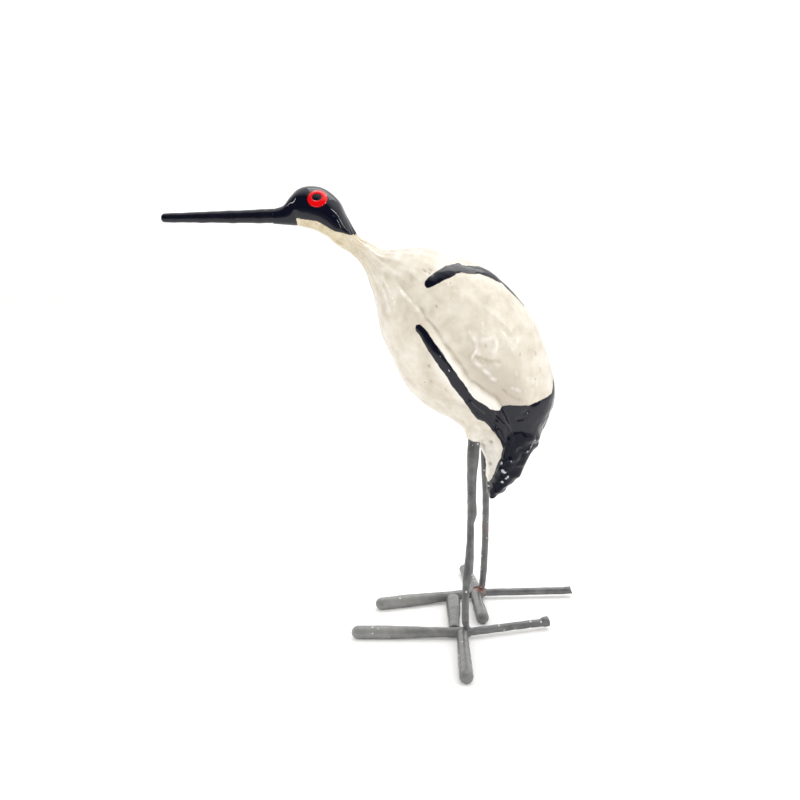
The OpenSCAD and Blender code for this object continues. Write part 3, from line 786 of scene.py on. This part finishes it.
# The welds. A small rough lump of weld holds the wires of each foot together, painted over with
# the rest, and rust has come through it on the right foot.
weld_r = 3.8
weld_half_height = 2.3
weld_set_back = 0.9
weld_material = wire_material.copy()
weld_material.name = "painted weld"
for number, side in enumerate(("left", "right")):
    tilt = np.radians(np.linspace(4, 176, 40))[:, None]
    turn = np.linspace(0, 2 * np.pi, 56, endpoint=False)[None, :]
    level_x = np.sin(tilt) * np.cos(turn)
    level_y = np.sin(tilt) * np.sin(turn)
    unit = np.stack([level_x, level_y, np.cos(tilt) + 0 * turn], -1)
    lump = unit * np.array([weld_r, weld_r, weld_half_height])
    lump *= 0.9 + 0.2 * unevenness(lump, 1.5, 4.0 + number)[..., None]
    centre = ankles[side] - level(foot_turn[side]) * weld_set_back
    rings = centre + lump
    weld_piece = ring_mesh(side + "_weld_lump", rings, {"rust": rust_near(rings)})
    weld_piece.data.materials.append(weld_material)
    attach(weld_piece, "root")
    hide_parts(side + "_ankle_weld")

# The floor. A sheet of white cloth with a fine weave, which fades into the white behind it.
floor_half = 1.5
floor_mesh = bpy.data.meshes.new("floor")
floor_corners = [(floor_half * a, floor_half * b, 0) for a, b in ((-1, -1), (1, -1), (1, 1), (-1, 1))]
floor_mesh.from_pydata(floor_corners, [], [(0, 1, 2, 3)])
floor = bpy.data.objects.new("floor", floor_mesh)
bpy.context.scene.collection.objects.link(floor)
cloth_values = {"Roughness": 0.9, "Specular IOR Level": 0.1, "Emission Color": (1, 1, 1, 1)}
floor_material, tree, shader = new_material("white cloth", cloth_values)
place = add_node(tree, "ShaderNodeTexCoord")
weave = []
for turn in (45, -45):
    turned = add_node(tree, "ShaderNodeMapping", {"Rotation": (0, 0, math.radians(turn))})
    threads = add_node(tree, "ShaderNodeTexWave", {"Scale": 350.0})
    tree.links.new(place.outputs["Object"], turned.inputs["Vector"])
    tree.links.new(turned.outputs["Vector"], threads.inputs["Vector"])
    weave.append(threads.outputs["Fac"])
crossed = add_node(tree, "ShaderNodeMath", operation="MULTIPLY")
tree.links.new(weave[0], crossed.inputs[0])
tree.links.new(weave[1], crossed.inputs[1])
cloth = add_mix(tree, crossed.outputs["Value"], (0.93, 0.93, 0.93, 1), (0.8, 0.79, 0.77, 1))
# In reflections alone the cloth goes dark from 0.24 m in front of the bird. The camera and the
# light that the cloth throws back do not see that
seen = add_node(tree, "ShaderNodeLightPath")
part = add_node(tree, "ShaderNodeSeparateXYZ")
unlit = add_node(tree, "ShaderNodeMapRange", {"From Min": -0.24, "From Max": -0.42, "To Max": 0.85})
mirrored = add_node(tree, "ShaderNodeMath", operation="MULTIPLY")
tree.links.new(place.outputs["Object"], part.inputs["Vector"])
tree.links.new(part.outputs["Y"], unlit.inputs["Value"])
tree.links.new(unlit.outputs["Result"], mirrored.inputs[0])
tree.links.new(seen.outputs["Is Glossy Ray"], mirrored.inputs[1])
cloth = add_mix(tree, mirrored.outputs["Value"], cloth, (0.01, 0.01, 0.015, 1))
tree.links.new(cloth, shader.inputs["Base Color"])
glow = add_node(tree, "ShaderNodeMath", {1: 0.18}, operation="MULTIPLY")
tree.links.new(seen.outputs["Is Camera Ray"], glow.inputs[0])
tree.links.new(glow.outputs["Value"], shader.inputs["Emission Strength"])
floor.data.materials.append(floor_material)

# The light. A white tent: even light from everywhere, a broad lamp over the bird's back and three
# narrow strips that draw lines of light on the gloss. Reflections show the tent bright above and
# behind the bird and dark in front, where the camera sees plain white.
world = bpy.data.worlds.new("white tent")
bpy.context.scene.world = world
world.use_nodes = True
tree = world.node_tree
tree.nodes.clear()
output = add_node(tree, "ShaderNodeOutputWorld")
even_light = add_node(tree, "ShaderNodeBackground", {"Color": (1, 0.99, 0.97, 1), "Strength": 0.92})
seen_light = add_node(tree, "ShaderNodeBackground", {"Strength": 1.0})
pick_light = add_node(tree, "ShaderNodeMixShader")
seen = add_node(tree, "ShaderNodeLightPath")
direct = add_node(tree, "ShaderNodeMath", operation="MAXIMUM")
clear = add_node(tree, "ShaderNodeMath", operation="MAXIMUM")
way = add_node(tree, "ShaderNodeTexCoord")
behind = add_node(tree, "ShaderNodeVectorMath", {1: (0.28, 0.68, 0.68)}, operation="DOT_PRODUCT")
rightward = add_node(tree, "ShaderNodeVectorMath", {1: (0.95, -0.1, 0.3)}, operation="DOT_PRODUCT")
roof_range = {"From Min": 0.2, "From Max": 0.6, "To Min": 0.04, "To Max": 1.2}
wall_range = {"From Min": 0.78, "From Max": 0.92, "To Max": 0.9}
roof = add_node(tree, "ShaderNodeMapRange", roof_range)
wall = add_node(tree, "ShaderNodeMapRange", wall_range)
tent = add_node(tree, "ShaderNodeMath", operation="MAXIMUM")
unless_seen = add_node(tree, "ShaderNodeMath", operation="MAXIMUM")
tree.links.new(seen.outputs["Is Camera Ray"], direct.inputs[0])
tree.links.new(seen.outputs["Is Glossy Ray"], direct.inputs[1])
tree.links.new(direct.outputs["Value"], clear.inputs[0])
tree.links.new(seen.outputs["Is Transmission Ray"], clear.inputs[1])
tree.links.new(clear.outputs["Value"], pick_light.inputs["Fac"])
tree.links.new(way.outputs["Generated"], behind.inputs[0])
tree.links.new(way.outputs["Generated"], rightward.inputs[0])
tree.links.new(behind.outputs["Value"], roof.inputs["Value"])
tree.links.new(rightward.outputs["Value"], wall.inputs["Value"])
tree.links.new(roof.outputs["Result"], tent.inputs[0])
tree.links.new(wall.outputs["Result"], tent.inputs[1])
tree.links.new(tent.outputs["Value"], unless_seen.inputs[0])
tree.links.new(seen.outputs["Is Camera Ray"], unless_seen.inputs[1])
tree.links.new(unless_seen.outputs["Value"], seen_light.inputs["Color"])
tree.links.new(even_light.outputs["Background"], pick_light.inputs[1])
tree.links.new(seen_light.outputs["Background"], pick_light.inputs[2])
tree.links.new(pick_light.outputs["Shader"], output.inputs["Surface"])


def add_lamp(name, at, along, size, radiance):
    """A flat lamp turned to the bird, its long side along the given direction, in metres."""
    lamp = bpy.data.lights.new(name, "AREA")
    lamp.shape = "RECTANGLE"
    lamp.size, lamp.size_y = size
    lamp.energy = radiance * math.pi * size[0] * size[1]
    stand = bpy.data.objects.new(name, lamp)
    back = (Vector(at) - bird_middle).normalized()
    side = Vector(along).cross(back).normalized()
    turned = Matrix((side, back.cross(side), back)).transposed()
    stand.matrix_world = Matrix.Translation(at) @ turned.to_4x4()
    bpy.context.scene.collection.objects.link(stand)


bird_middle = Vector((0.03, 0.006, 0.12))
add_lamp("tent_roof", (0.2, 0.25, 0.9), (0, 1, 0), (0.7, 0.7), 2.2)
add_lamp("wing_strip", (0.66, -0.35, 0.50), (0.21, 0.155, -0.2), (0.025, 0.36), 18)
add_lamp("right_strip", (0.466, -0.64, 0.19), (0, 0, 1), (0.03, 0.36), 13)
add_lamp("left_strip", (-0.76, 0.06, 0.33), (0, 0, 1), (0.04, 0.5), 10)
